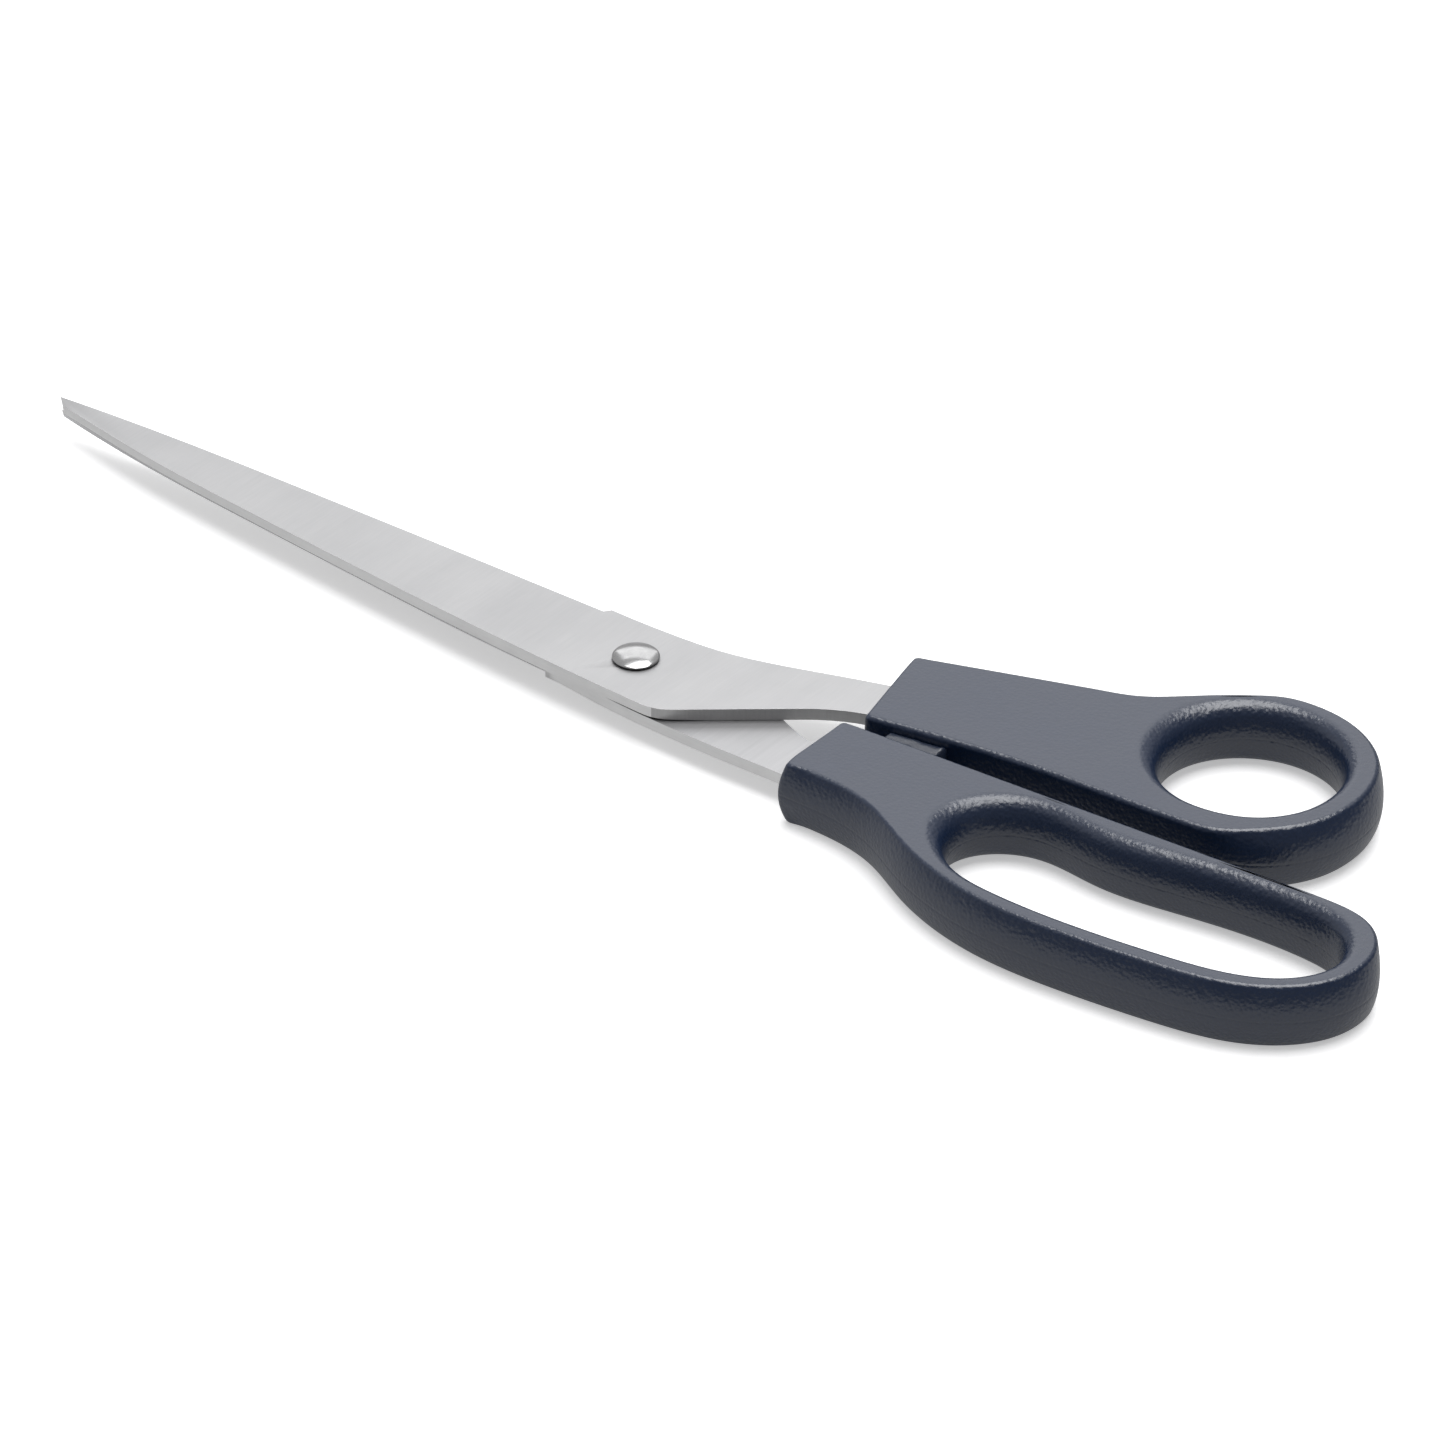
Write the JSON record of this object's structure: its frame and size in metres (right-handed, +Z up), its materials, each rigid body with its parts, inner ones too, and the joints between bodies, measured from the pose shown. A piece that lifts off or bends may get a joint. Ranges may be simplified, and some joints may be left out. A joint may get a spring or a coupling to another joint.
{
  "type": "fabric shears",
  "caption": "Fabric shears: long straight steel blades on a domed rivet, a round thumb loop and a long finger loop in moulded plastic, and a stop lug between the handles.",
  "frame": {"origin": "under the middle of the closed shears, on the surface they lie on", "axes": "+X along the shears from the tips to the handles, +Z up out of the surface they lie on, +Y from the finger loop to the thumb loop"},
  "size_m": [0.2812, 0.0812, 0.0116],
  "materials": {
    "blade_steel": "finely ground along the blade, satin",
    "rivet_steel": "polished",
    "handle_plastic": "dark slate, fine matte moulded grain"
  },
  "bodies": {
    "lower_half": {"lower_blade": "blade_steel", "finger_handle": "handle_plastic", "pivot_rivet": "rivet_steel", "pivot_washer": "rivet_steel"},
    "upper_half": {"upper_blade": "blade_steel", "thumb_handle": "handle_plastic"}
  },
  "joints": [
    {"name": "blade_pivot", "type": "hinge", "parent": "lower_half", "child": "upper_half", "pos_m": [-0.00775, -0.01531, 0.0058], "axis": [0, 0, 1], "range_deg": [0, 130]}
  ]
}
